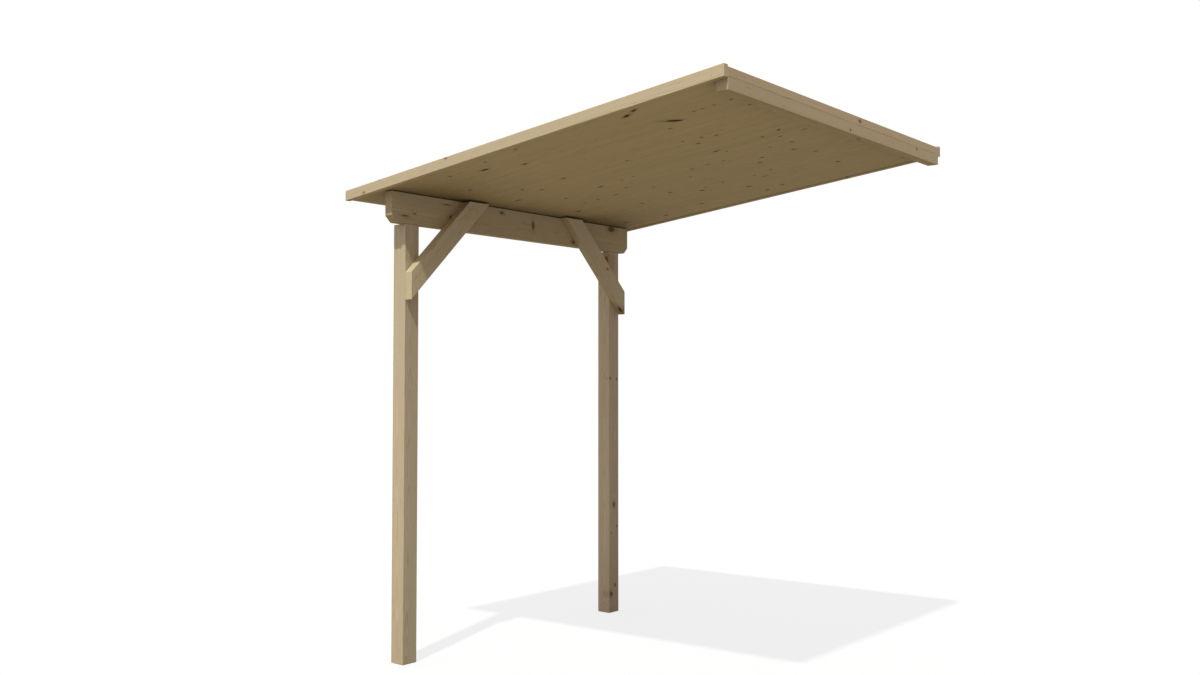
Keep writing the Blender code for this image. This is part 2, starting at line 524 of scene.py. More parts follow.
@dataclass(frozen=True)
class KnotLook:
    """How the knots show in the wood. Their distances are in knot radii from a knot's middle.

    Attributes:
        far: a distance at which no knot shows.
        merge: how softly two knots run into each other.
        halo: how far the darker wood round a knot reaches.
        halo_share: how dark that wood is.
        years: how many rings a knot has.
        year_rise: the shares of such a ring between which it darkens.
        plain_share: how much of a knot shows no rings.
        border: the distances between which a knot gives way to the wood.
        rim_width: how wide the bark's line is to each side.
        live_rim: how dark that line is round a live knot.
        dead_rim: how much darker it is round a dead one.
    """

    far: float = 50.0
    merge: float = 0.35
    halo: float = 3.2
    halo_share: float = 0.42
    years: float = 3.5
    year_rise: Span = (0.3, 1.0)
    plain_share: float = 0.65
    border: Span = (0.92, 1.08)
    rim_width: float = 0.22
    live_rim: float = 0.15
    dead_rim: float = 0.75

    def colour(self, draw: Sketch, given: Sockets, wood: Socket) -> tuple[Socket, Socket, Socket]:
        """The knots laid over the wood.

        Args:
            draw: the sketch of the wood group.
            given: the group's inputs by name.
            wood: the colour of the wood without its knots.

        Returns:
            The colour, how far a point is inside a knot, and how far it is in a knot's bark.
        """
        nearest = given["Nearest Knot"]
        halo = draw.times(draw.ramp(nearest, 1.0, self.halo, 1.0, 0.0), self.halo_share)
        around = draw.blend(halo, wood, given["Knot Heart"])
        year = draw.math("FRACT", draw.times(nearest, self.years))
        ringed = draw.blend(draw.ramp(year, *self.year_rise), given["Knot Heart"], given["Knot Bark"])
        core = draw.blend(self.plain_share, ringed, given["Knot Heart"])
        core = draw.blend(draw.math("POWER", given["Knot Age"], 2.0), core, given["Knot Bark"])
        inside = draw.ramp(nearest, *self.border, 1.0, 0.0)
        edge = draw.math("ABSOLUTE", draw.minus(nearest, 1.0))
        rim = draw.plus(self.live_rim, draw.times(given["Knot Age"], self.dead_rim))
        bark = draw.times(draw.ramp(edge, 0.0, self.rim_width, 1.0, 0.0), rim)
        colour = draw.blend(bark, draw.blend(inside, around, core), given["Knot Bark"])
        return colour, inside, bark


@dataclass(frozen=True)
class ToneAndPaintedShade:
    """How light the wood is, by the way a face looks and by what stands close to it, with painted shade
    below and in creases.

    Attributes:
        plain_light: the light of the wood without its marks.
        end_grain: how squarely a face has to cut the grain to count as an end, from and to.
        level: how squarely a face has to look up or down to count as level, from and to.
        top_spread: how much one timber's top may be lighter than another's.
        crease_shade_reach: how far the painted shade reaches from another timber.
        crease_shade_rays: how many rays tell how close it is.
        open_least: the share of open air under which the painted shade grows no darker.
    """

    plain_light: float = 0.86
    end_grain: Span = (0.80, 0.92)
    level: Span = (0.25, 0.85)
    top_spread: float = 0.16
    crease_shade_reach: float = 0.62
    crease_shade_rays: int = 6
    open_least: float = 0.45

    def light(self, draw: Sketch, given: Sockets, there: Socket, fibre: Socket) -> Socket:
        """How light the wood is at a point, with painted shade close to other timbers.

        Args:
            draw: the sketch of the wood group.
            given: the group's inputs by name.
            there: the point in the timber's own stretch of wood.
            fibre: the fibres at that point.

        Returns:
            The number that the colour is multiplied by.
        """
        light = draw.plus(self.plain_light, draw.times(fibre, FIBRE.strength))
        light = draw.plus(light, draw.times(STREAK.plain(draw, there), STREAK.strength))
        light = draw.plus(light, draw.times(CLOUD.plain(draw, there), CLOUD.strength))
        normal = draw.node("ShaderNodeTexCoord").outputs["Normal"]
        squarely = draw.math("ABSOLUTE", draw.vector("DOT_PRODUCT", normal, given["Grain"]))
        end = draw.times(draw.ramp(squarely, *self.end_grain), draw.minus(given["End Shade"], 1.0))
        light = draw.times(draw.times(light, draw.plus(1.0, end)), given["Tone"])
        # Painted shade: ambient occlusion darkens the colour where other timbers stand close.
        open_air = draw.node("ShaderNodeAmbientOcclusion", Distance=self.crease_shade_reach)
        open_air.samples = self.crease_shade_rays
        open_share = draw.math("MAXIMUM", open_air.outputs["AO"], self.open_least)
        light = draw.times(light, draw.math("POWER", open_share, given["Crease Shade"]))
        up = draw.ramp(draw.vector("DOT_PRODUCT", normal, Side.UP.value), *self.level)
        chance = draw.math("FRACT", draw.vector("DOT_PRODUCT", given["Seed"], ALONG_GRAIN))
        own = draw.minus(chance, NOISE_MIDDLE)
        bleached = draw.times(draw.times(own, up), self.top_spread)
        return draw.times(light, draw.plus(1.0, bleached))

    def underside_shade(self, draw: Sketch, given: Sockets, colour: Socket) -> Socket:
        """A colour with the painted shade of faces that look down, darker and warmer in place of the weaker
        light from below.

        Args:
            draw: the sketch of the wood group.
            given: the group's inputs by name.
            colour: the colour without that painted shade.

        Returns:
            The colour at this face.
        """
        normal = draw.node("ShaderNodeTexCoord").outputs["Normal"]
        # Painted shade: a face that looks down is multiplied by the underside colour.
        down = draw.ramp(draw.vector("DOT_PRODUCT", normal, Side.DOWN.value), *self.level)
        return draw.vector("MULTIPLY", colour, draw.blend(down, WHITE, given["Underside Shade"]))


@dataclass(frozen=True)
class Surface:
    """How rough and how uneven planed pine is.

    Attributes:
        roughness: the least roughness.
        fibre_roughness: what the fibres add to it.
        knot_roughness: what a knot adds, whose cracked face is duller than the wood.
        fibre_height: how high the fibres stand.
        late_height: how high the hard late wood stands.
        dash_depth: how deep a resin dash lies.
        bark_depth: how deep the bark's line lies.
        bump: how strongly the heights show.
        bump_height: the height of a full step.
        gloss: the specular level.
        shiver: how a knot's outline strays.
    """

    roughness: float = 0.64
    fibre_roughness: float = 0.24
    knot_roughness: float = 0.24
    fibre_height: float = 0.55
    late_height: float = 0.20
    dash_depth: float = 0.25
    bark_depth: float = 0.40
    bump: float = 0.35
    bump_height: float = 0.0008
    gloss: float = 0.12
    shiver: Mark = Mark((60, 170, 170), 2.0, strength=0.0045)


class PineShop:
    """Makes the node groups that all pine shares, and one material for each timber.

    The pith of a log may lean off the grain by SIDE_LEAN across it and by FACE_LEAN through it, and the
    stretch of wood that a timber shows lies within SEED_REACH of the first one.

    Attributes:
        knot_group: takes one more knot into account.
        wood_group: gives colour, roughness and height of the wood at a point.
    """

    RINGS = YearRings()
    KNOTS = KnotLook()
    TONE_AND_SHADE = ToneAndPaintedShade()
    SURFACE = Surface()
    SEED_REACH = 9.0
    SIDE_LEAN = 0.010
    FACE_LEAN = 0.016

    def __init__(self) -> None:
        """Draw both groups once."""
        self.knot_group = self.draw_knot_group()
        self.wood_group = self.draw_wood_group()

    @staticmethod
    def new_group(name: str, inputs: Labels, outputs: Labels) -> Group:
        """A node group with its sockets.

        Args:
            name: the group's name.
            inputs: the names of its inputs by their kind.
            outputs: the same for what comes out.

        Returns:
            The group, a sketch of it, its inputs by name and its output node.
        """
        group = bpy.data.node_groups.new(name, "ShaderNodeTree")
        for direction, sockets in (("INPUT", inputs), ("OUTPUT", outputs)):
            for kind, labels in sockets.items():
                for label in labels:
                    group.interface.new_socket(label, in_out=direction, socket_type=f"NodeSocket{kind}")
        entry = group.nodes.new("NodeGroupInput")
        leave = group.nodes.new("NodeGroupOutput")
        return group, Sketch(group), {s.name: s for s in entry.outputs if s.name}, leave

    def draw_knot_group(self) -> bpy.types.NodeTree:
        """The group that takes one more knot into account.

        Returns:
            A group that gives the distance to the nearest knot, in its radii, and that knot's age.
        """
        inputs = {
            "Vector": ("Wood", "Place", "Branch", "Length"),
            "Float": ("Squeeze", "Radius", "Reach", "Age", "Nearest", "Nearest Age"),
        }
        outputs = {"Float": ("Nearest", "Nearest Age")}
        group, draw, given, leave = self.new_group("knot", inputs, outputs)
        apart = draw.vector("SUBTRACT", given["Wood"], given["Place"])
        along = draw.vector("DOT_PRODUCT", apart, given["Branch"])
        flat = draw.vector("SUBTRACT", apart, draw.scaled(given["Branch"], along))
        reach = draw.times(draw.vector("DOT_PRODUCT", flat, given["Length"]), given["Squeeze"])
        wide = draw.vector("LENGTH", draw.vector("SUBTRACT", flat, draw.scaled(given["Length"], reach)))
        below = draw.math("MAXIMUM", draw.minus(draw.times(along, -1.0), given["Reach"]), 0.0)
        radii = draw.math("DIVIDE", draw.plus(wide, below), given["Radius"])
        nearest = draw.math("SMOOTH_MIN", given["Nearest"], radii, self.KNOTS.merge)
        draw.feed(leave.inputs["Nearest"], nearest)
        closer = draw.math("LESS_THAN", radii, given["Nearest"])
        older = draw.minus(given["Age"], given["Nearest Age"])
        draw.feed(leave.inputs["Nearest Age"], draw.plus(given["Nearest Age"], draw.times(closer, older)))
        return group

    def draw_wood_group(self) -> bpy.types.NodeTree:
        """The group that makes pine at a point of the timber.

        Returns:
            A group that gives the wood's colour, roughness and height.
        """
        inputs = {
            "Vector": ("Wood", "Grain", "Seed", "Pith", "Lean"),
            "Float": (
                "Nearest Knot", "Knot Age", "Knot Radius", "Ring Width", "Figure", "End Shade", "Tone",
                "Crease Shade",
            ),
            "Color": ("Early Wood", "Late Wood", "Tint", "Knot Heart", "Knot Bark", "Underside Shade"),
        }
        outputs = {"Color": ("Colour",), "Float": ("Roughness", "Height")}
        group, draw, given, leave = self.new_group("pine", inputs, outputs)
        there = draw.vector("ADD", given["Wood"], given["Seed"])
        late = self.RINGS.late_wood(draw, given, there)
        fibre = FIBRE.plain(draw, there)
        dash = DASH.stepped(draw, there)
        wood = draw.blend(draw.times(late, given["Figure"]), given["Early Wood"], given["Late Wood"])
        for mark, shown, colour in (
            (TINT_PATCH, TINT_PATCH.stepped(draw, there), "Tint"),
            (DASH, dash, "Late Wood"),
            (FLECK, FLECK.stepped(draw, there), "Knot Heart"),
        ):
            wood = draw.blend(draw.times(shown, mark.strength), wood, given[colour])
        knotty, inside, bark = self.KNOTS.colour(draw, given, wood)
        light = self.TONE_AND_SHADE.light(draw, given, there, fibre)
        # Painted shade on faces that look down.
        shaded_below = self.TONE_AND_SHADE.underside_shade(draw, given, knotty)
        draw.feed(leave.inputs["Colour"], draw.scaled(shaded_below, light))
        look = self.SURFACE
        rough = draw.plus(look.roughness, draw.times(fibre, look.fibre_roughness))
        rough = draw.plus(rough, draw.times(inside, look.knot_roughness))
        draw.feed(leave.inputs["Roughness"], rough)
        height = draw.plus(draw.times(fibre, look.fibre_height), draw.times(late, look.late_height))
        height = draw.minus(height, draw.times(dash, look.dash_depth))
        height = draw.minus(height, draw.times(bark, look.bark_depth))
        draw.feed(leave.inputs["Height"], height)
        return group

    def chain_knots(self, draw: Sketch, wood: Socket, knots: Sequence[Knot], world: Matrix,
                    reach: float) -> tuple[Value, Value]:
        """One knot node after another, for the knots of one timber.

        Args:
            draw: the sketch of the timber's material.
            wood: the point of the timber, along its own axes.
            knots: the timber's knots.
            world: the timber's place.
            reach: how deep a knot goes in from its face.

        Returns:
            The distance to the nearest knot, in its radii, and that knot's age.
        """
        to_timber = world.inverted()
        nearest: Value = self.KNOTS.far
        age: Value = 0.0
        for knot in knots:
            branch = (to_timber.to_3x3() @ Vector(knot.side.value)).normalized()
            length = Matrix.Rotation(math.radians(knot.turn), 3, branch) @ Vector(ALONG_GRAIN)
            settings = {
                "Wood": wood,
                "Place": tuple(to_timber @ Vector(knot.place)),
                "Branch": tuple(branch),
                "Length": tuple(length),
                "Squeeze": 1 - 1 / knot.stretch,
                "Radius": knot.radius,
                "Reach": reach,
                "Age": knot.age,
                "Nearest": nearest,
                "Nearest Age": age,
            }
            node = draw.tree.nodes.new("ShaderNodeGroup")
            node.node_tree = self.knot_group
            for label, value in settings.items():
                draw.feed(node.inputs[label], value)
            nearest = node.outputs["Nearest"]
            age = node.outputs["Nearest Age"]
        return nearest, age

    def material(self, name: str, finish: PineFinish, grain: Grain, knots: Sequence[Knot], world: Matrix,
                 reach: float) -> bpy.types.Material:
        """The pine of one timber.

        Args:
            name: the material's name.
            finish: the kind of pine.
            grain: how the timber was cut.
            knots: the timber's own knots.
            world: the timber's place, which turns its own axes into the frame's.
            reach: how deep a knot goes in from its face.

        Returns:
            A material with its nodes.
        """
        look = self.SURFACE
        material = bpy.data.materials.new(name)
        material.use_nodes = True
        draw = Sketch(material.node_tree)
        shader = material.node_tree.nodes["Principled BSDF"]
        along_timber = world.to_3x3().inverted().to_euler()
        own_axes = draw.node("ShaderNodeMapping", Rotation=tuple(along_timber))
        draw.feed(own_axes.inputs["Vector"], draw.node("ShaderNodeTexCoord").outputs["Object"])
        wood = own_axes.outputs["Vector"]
        dice = random.Random(grain.seed)
        seed = tuple(dice.uniform(-self.SEED_REACH, self.SEED_REACH) for _ in range(3))
        shiver = look.shiver.shift(draw, draw.vector("ADD", wood, seed))
        nearest, age = self.chain_knots(draw, draw.vector("ADD", wood, shiver), knots, world, reach)
        side_lean = dice.uniform(-self.SIDE_LEAN, self.SIDE_LEAN)
        face_lean = dice.uniform(-self.FACE_LEAN, self.FACE_LEAN)
        across, through = (distance * dice.choice((-1, 1)) for distance in grain.cut.value)
        settings = {
            "Wood": wood,
            "Grain": tuple(world.col[0].xyz),
            "Seed": seed,
            "Pith": (0.0, across, through),
            "Lean": (0.0, side_lean, face_lean),
            "Nearest Knot": nearest,
            "Knot Age": age,
            "Knot Radius": max((knot.radius for knot in knots), default=0.0),
            "Ring Width": finish.ring_width,
            "Figure": finish.figure,
            "End Shade": finish.end_shade,
            "Tone": grain.tone,
            "Early Wood": finish.early_wood,
            "Late Wood": finish.late_wood,
            "Tint": finish.tint,
            "Knot Heart": finish.knot_heart,
            "Knot Bark": finish.knot_bark,
            "Underside Shade": finish.underside_shade,
            "Crease Shade": finish.crease_shade,
        }
        pine = draw.tree.nodes.new("ShaderNodeGroup")
        pine.node_tree = self.wood_group
        for label, value in settings.items():
            draw.feed(pine.inputs[label], value)
        bump = draw.node(
            "ShaderNodeBump", Strength=look.bump, Distance=look.bump_height, Height=pine.outputs["Height"]
        )
        draw.feed(shader.inputs["Base Color"], pine.outputs["Colour"])
        draw.feed(shader.inputs["Roughness"], pine.outputs["Roughness"])
        draw.feed(shader.inputs["Normal"], bump.outputs["Normal"])
        shader.inputs["Specular IOR Level"].default_value = look.gloss
        return material


@dataclass(frozen=True)
class SteelFinish:
    """Zinc on the steel of a screw, bolt or nail, mottled where it has worn.

    Attributes:
        colour: the fresh zinc.
        worn: the worn zinc.
        roughness: how rough the fresh zinc is.
        worn_roughness: how much rougher the worn zinc is.
        mottle: the noise that tells one from the other.
    """

    colour: Colour
    worn: Colour
    roughness: float
    worn_roughness: float = 0.15
    mottle: Mark = Mark((600, 600, 600), 3.0, (0.4, 0.7))

    def material(self, name: str) -> bpy.types.Material:
        """A metal material with mottled colour and roughness.

        Args:
            name: the material's name.

        Returns:
            A material with its nodes.
        """
        material = bpy.data.materials.new(name)
        material.use_nodes = True
        draw = Sketch(material.node_tree)
        shader = material.node_tree.nodes["Principled BSDF"]
        share = self.mottle.stepped(draw, draw.node("ShaderNodeTexCoord").outputs["Object"])
        draw.feed(shader.inputs["Base Color"], draw.blend(share, self.colour, self.worn))
        rough = draw.plus(self.roughness, draw.times(share, self.worn_roughness))
        draw.feed(shader.inputs["Roughness"], rough)
        shader.inputs["Metallic"].default_value = 1.0
        return material


YELLOW_ZINC = SteelFinish(colour=linear(178, 156, 112), worn=linear(138, 118, 82), roughness=0.40)
GREY_ZINC = SteelFinish(colour=linear(172, 175, 178), worn=linear(126, 130, 134), roughness=0.46)


class Outline(Enum):
    """The shape of a fixing's ring, seen along the fixing."""

    ROUND = "round"
    STAR = "star"
    HEXAGON = "hexagon"


@dataclass(frozen=True)
class Ring:
    """One ring of points round a fixing's axis.

    Attributes:
        radius: its radius, which for a hexagon is half its width across the flats.
        height: its height above the wood.
        outline: its shape.
    """

    POINTS_OF_STAR = 6
    DEPTH_OF_STAR = 0.13
    ONE_FLAT = math.pi / 3

    radius: float
    height: float
    outline: Outline = Outline.ROUND

    def point(self, turn: float) -> Place:
        """A point of the ring.

        Args:
            turn: the turn about the axis.

        Returns:
            The point.
        """
        reach = self.radius
        if self.outline is Outline.STAR:
            reach *= 1 + self.DEPTH_OF_STAR * math.cos(self.POINTS_OF_STAR * turn)
        elif self.outline is Outline.HEXAGON:
            reach /= math.cos((turn + self.ONE_FLAT / 2) % self.ONE_FLAT - self.ONE_FLAT / 2)
        return (reach * math.cos(turn), reach * math.sin(turn), self.height)


@dataclass(frozen=True)
class Fixing:
    """A kind of screw, bolt or nail.

    Attributes:
        rings: the rings of its head and of the shank under it, from inside the wood outwards.
        finish: its metal.
        sides: how many points a ring has.
        pocket: the radius of the pocket that its head sits in, or nothing.
        pocket_depth: how deep that pocket is.
    """

    rings: tuple[Ring, ...]
    finish: SteelFinish
    sides: int = 24
    pocket: float = 0.0
    pocket_depth: float = 0.0


COUNTERSUNK_SCREW = Fixing(
    rings=(
        Ring(0.0022, -0.0060), Ring(0.0024, -0.0036), Ring(0.0044, -0.0009), Ring(0.0045, -0.0006),
        Ring(0.0043, -0.0005), Ring(0.0026, -0.0005), Ring(0.0024, -0.0006, Outline.STAR),
        Ring(0.0022, -0.0010, Outline.STAR), Ring(0.0020, -0.0028, Outline.STAR), Ring(0.0008, -0.0031),
    ),
    finish=YELLOW_ZINC,
    sides=36,
    pocket=0.0047,
    pocket_depth=0.0012,
)
LOST_HEAD_NAIL = Fixing(
    rings=(
        Ring(0.0010, -0.0050), Ring(0.0015, -0.0020), Ring(0.0015, -0.0007), Ring(0.0013, -0.0005),
        Ring(0.0005, -0.0006),
    ),
    finish=GREY_ZINC,
    sides=36,
    pocket=0.0017,
    pocket_depth=0.0010,
)
ROOFING_NAIL = Fixing(
    rings=(
        Ring(0.0014, -0.0040), Ring(0.0014, -0.0002), Ring(0.0029, -0.0001), Ring(0.0030, 0.0003),
        Ring(0.0026, 0.0006), Ring(0.0010, 0.0007),
    ),
    finish=GREY_ZINC,
)
COACH_SCREW = Fixing(
    rings=(
        Ring(0.0040, -0.0080), Ring(0.0040, -0.0002), Ring(0.0120, -0.0001), Ring(0.0121, 0.0014),
        Ring(0.0117, 0.0019), Ring(0.0068, 0.0020), Ring(0.0064, 0.0021, Outline.HEXAGON),
        Ring(0.0065, 0.0024, Outline.HEXAGON), Ring(0.0065, 0.0066, Outline.HEXAGON),
        Ring(0.0062, 0.0073), Ring(0.0050, 0.0075), Ring(0.0010, 0.0075),
    ),
    finish=GREY_ZINC,
)


def placed(origin: Sequence[float], grain: Sequence[float], across: Sequence[float]) -> Matrix:
    """A timber's place in the frame.

    Args:
        origin: its middle.
        grain: the way its grain runs.
        across: the way its own Y axis lies.

    Returns:
        The matrix that turns the timber's axes into the frame's.
    """
    along = Vector(grain).normalized()
    side = Vector(across).normalized()
    turn = Matrix((along, side, along.cross(side))).transposed()
    return Matrix.Translation(Vector(origin)) @ turn.to_4x4()


def prism(outline: Sequence[Point], depth: float,
          to_timber: Callable[[float, float, float], Place]) -> bmesh.types.BMesh:
    """A flat outline drawn out to a depth.

    Args:
        outline: the corners, in order.
        depth: how far it is drawn out, half to each side.
        to_timber: turns a corner and a depth into a point of the timber.

    Returns:
        A closed mesh.
    """
    mesh = bmesh.new()
    near = [mesh.verts.new(to_timber(a, b, -depth / 2)) for a, b in outline]
    far = [mesh.verts.new(to_timber(a, b, depth / 2)) for a, b in outline]
    mesh.faces.new(near)
    mesh.faces.new(reversed(far))
    for step in range(len(outline)):
        after = (step + 1) % len(outline)
        mesh.faces.new((near[step], far[step], far[after], near[after]))
    bmesh.ops.recalc_face_normals(mesh, faces=mesh.faces)
    return mesh


def round_arrises(mesh: bmesh.types.BMesh, radius: float, steps: int = 3) -> None:
    """Round every sharp edge of a timber.

    Args:
        mesh: the timber's mesh.
        radius: how far the rounding reaches to each side of an edge.
        steps: how many faces make it up.
    """
    sharp = [edge for edge in mesh.edges if edge.calc_face_angle(0) > SHARP_EDGE]
    bmesh.ops.bevel(
        mesh, geom=sharp, offset=radius, segments=steps, profile=0.5, affect="EDGES", clamp_overlap=True
    )


def even_shading(piece: bpy.types.Object) -> None:
    """Keep flat faces flat beside smooth arrises.

    Args:
        piece: the object to shade.
    """
    piece.data.shade_smooth()
    piece.data.set_sharp_from_angle(angle=SHADING_EDGE)
    even = piece.modifiers.new("even shading", "WEIGHTED_NORMAL")
    even.keep_sharp = True


def finish_mesh(mesh: bmesh.types.BMesh, name: str, world: Matrix) -> bpy.types.Object:
    """An object for a mesh, with smooth arrises and flat faces.

    Args:
        mesh: the mesh in its own axes, which this call uses up.
        name: the object's name.
        world: the place that the mesh is turned and moved to.

    Returns:
        An object whose axes are the frame's, with its middle in its place.
    """
    mesh.transform(world.to_3x3().to_4x4())
    data = bpy.data.meshes.new(name)
    mesh.to_mesh(data)
    mesh.free()
    piece = bpy.data.objects.new(name, data)
    piece.location = world.translation
    bpy.context.scene.collection.objects.link(piece)
    even_shading(piece)
    bpy.context.view_layer.update()
    return piece


def turned(mesh: bmesh.types.BMesh, rings: Sequence[Ring], place: Matrix, sides: int) -> None:
    """Add one closed turned shape to a mesh.

    Args:
        mesh: the mesh to add to.
        rings: its rings, from the end in the wood outwards.
        place: where its foot on the wood is, and which way its axis points.
        sides: how many points a ring has.
    """
    turns = [2 * math.pi * step / sides for step in range(sides)]
    loops = [[mesh.verts.new(place @ Vector(ring.point(turn))) for turn in turns] for ring in rings]
    for below, above in zip(loops, loops[1:]):
        for step in range(sides):
            after = (step + 1) % sides
            mesh.faces.new((below[step], below[after], above[after], above[step]))
    mesh.faces.new(reversed(loops[0]))
    mesh.faces.new(loops[-1])


@dataclass
class Workshop:
    """Turns meshes into pieces that stand for the frame's nodes.

    A pocket has POCKET_SIDES sides. Its floor and its mouth are POCKET_FLOOR and POCKET_MOUTH times as wide
    as its middle, and its cutter stands out of the wood by CUTTER_OVERLAP.

    Attributes:
        shop: where the pine comes from.
        pieces: every piece made so far.
    """

    POCKET_SIDES = 32
    POCKET_FLOOR = 0.94
    POCKET_MOUTH = 1.06
    CUTTER_OVERLAP = 0.0002

    shop: PineShop
    pieces: list[bpy.types.Object] = field(default_factory=list)

    def timber(self, node: str, mesh: bmesh.types.BMesh, world: Matrix, finish: PineFinish, grain: Grain,
               knots: Sequence[Knot], reach: float, slot: Slot) -> bpy.types.Object:
        """Stand one timber in its place.

        Args:
            node: the frame's node that it stands for.
            mesh: the timber's mesh along its own axes.
            world: its place.
            finish: the kind of pine.
            grain: how it was cut.
            knots: its knots.
            reach: how deep the knots go in.
            slot: the record's material slot, which is not used.

        Returns:
            The piece.
        """
        piece = finish_mesh(mesh, f"{node}_timber", world)
        piece.data.materials.append(self.shop.material(f"{node}_pine", finish, grain, knots, world, reach))
        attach(piece, BODY)
        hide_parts(node)
        self.pieces.append(piece)
        LOG.info("%s: %d faces, %d knots", piece.name, len(piece.data.polygons), len(knots))
        return piece

    def drive(self, name: str, fixing: Fixing, places: Sequence[Sequence[float]], out: Sequence[float],
              timber: bpy.types.Object | None = None) -> bpy.types.Object:
        """Drive a row of fixings.

        Args:
            name: the piece's name.
            fixing: the kind of fixing.
            places: where each meets the face of the wood.
            out: the way that face looks.
            timber: the piece that gets the pockets, for a fixing that has them.

        Returns:
            One piece with every fixing of the row.
        """
        axis = Vector(out).to_track_quat("Z", "Y").to_matrix().to_4x4()
        start = Vector(places[0])
        seats = [Matrix.Translation(Vector(place) - start) @ axis for place in places]
        mesh = bmesh.new()
        for seat in seats:
            turned(mesh, fixing.rings, seat, fixing.sides)
        if timber is not None and fixing.pocket:
            self.cut_pockets(timber, fixing, [Matrix.Translation(start) @ seat for seat in seats])
        piece = finish_mesh(mesh, name, Matrix.Translation(start))
        piece.data.materials.append(fixing.finish.material(f"{name}_zinc"))
        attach(piece, BODY)
        self.pieces.append(piece)
        LOG.info("%s: %d", name, len(places))
        return piece

    def cut_pockets(self, timber: bpy.types.Object, fixing: Fixing, seats: Sequence[Matrix]) -> None:
        """Cut a pocket for each head of a row of fixings.

        Args:
            timber: the piece to cut.
            fixing: the kind of fixing.
            seats: the place of each fixing.
        """
        wall = (
            Ring(fixing.pocket * self.POCKET_FLOOR, -fixing.pocket_depth),
            Ring(fixing.pocket, -fixing.pocket_depth / 2),
            Ring(fixing.pocket * self.POCKET_MOUTH, self.CUTTER_OVERLAP),
        )
        mesh = bmesh.new()
        for seat in seats:
            turned(mesh, wall, seat, self.POCKET_SIDES)
        data = bpy.data.meshes.new("pockets")
        mesh.to_mesh(data)
        mesh.free()
        cutter = bpy.data.objects.new("pockets", data)
        bpy.context.scene.collection.objects.link(cutter)
        timber.modifiers.clear()
        cut = timber.modifiers.new("pockets", "BOOLEAN")
        cut.operation = "DIFFERENCE"
        cut.object = cutter
        depsgraph = bpy.context.evaluated_depsgraph_get()
        timber.data = bpy.data.meshes.new_from_object(timber.evaluated_get(depsgraph))
        timber.modifiers.clear()
        bpy.data.objects.remove(cutter, do_unlink=True)
        bpy.data.meshes.remove(data)
        even_shading(timber)


def section_along(x: float, y: float, depth: float) -> Place:
    """A section across the grain, drawn out along it."""
    return (depth, x, y)


def face_through(x: float, y: float, depth: float) -> Place:
    """A face along the grain, drawn out through the timber."""
    return (x, y, depth)


def rectangle(width: float, height: float) -> list[Point]:
    """A rectangle about its middle."""
    half, rise = width / 2, height / 2
    return [(-half, -rise), (half, -rise), (half, rise), (-half, rise)]


def middle(low: Vector, high: Vector) -> Vector:
    """The point half way between two corners."""
    return (low + high) / 2


def soffit(y: float) -> float:
    """The height of the boards' underside at a place along Y, taken from the frame's boards."""
    low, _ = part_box("roof_board_01")
    return low.z + (y - low.y) * SLOPE


@dataclass
class Posts:
    """The two square posts.

    Attributes:
        arris: the radius of their arrises.
        arris_steps: how many faces make up an arris.
        first_seed: the seed of the first post's wood.
        tones: how light each post is.
        knots: the knots of each post.
    """

    arris: float = 0.003
    arris_steps: int = 4
    first_seed: int = 11
    tones: dict[str, float] = field(default_factory=lambda: {"post_left": 1.02, "post_right": 1.0})
    knots: dict[str, tuple[Knot, ...]] = field(default_factory=lambda: {
        "post_right": (
            Knot((0.800, -2.112, -0.95), Side.OUTSIDE, 0.009),
            Knot((0.826, -2.112, -1.74), Side.OUTSIDE, 0.006),
            Knot((0.768, -2.060, -1.40), Side.LEFT, 0.008),
        ),
        "post_left": (
            Knot((-0.768, -2.046, -0.412), Side.RIGHT, 0.015, 2.6, age=0.0),
            Knot((-0.768, -2.040, -0.485), Side.RIGHT, 0.004),
            Knot((-0.812, -2.022, -1.906), Side.WALL, 0.008, 1.8),
            Knot((-0.840, -2.022, -1.135), Side.WALL, 0.004, 1.4),
            Knot((-0.777, -2.022, -1.129), Side.WALL, 0.004, 1.8),
            Knot((-0.788, -2.022, -2.076), Side.WALL, 0.003),
            Knot((-0.841, -2.022, -2.039), Side.WALL, 0.004, 1.2),
            Knot((-0.786, -2.022, -2.447), Side.WALL, 0.010, 1.3),
            Knot((-0.823, -2.022, -2.398), Side.WALL, 0.006, 1.2),
            Knot((-0.858, -2.070, -1.50), Side.LEFT, 0.008),
        ),
    })

    def build(self, workshop: Workshop) -> None:
        """Make both posts.

        Args:
            workshop: where they are made.
        """
        for seed, (node, tone) in enumerate(self.tones.items(), start=self.first_seed):
            low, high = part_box(node)
            size = high - low
            mesh = prism(rectangle(size.x, size.y), size.z, section_along)
            round_arrises(mesh, self.arris, self.arris_steps)
            world = placed(middle(low, high), Side.UP.value, Side.RIGHT.value)
            grain = Grain(Cut.BOXED_HEART, seed, tone)
            workshop.timber(node, mesh, world, POST_PINE, grain, self.knots[node], size.x / 2, Slot.POST)


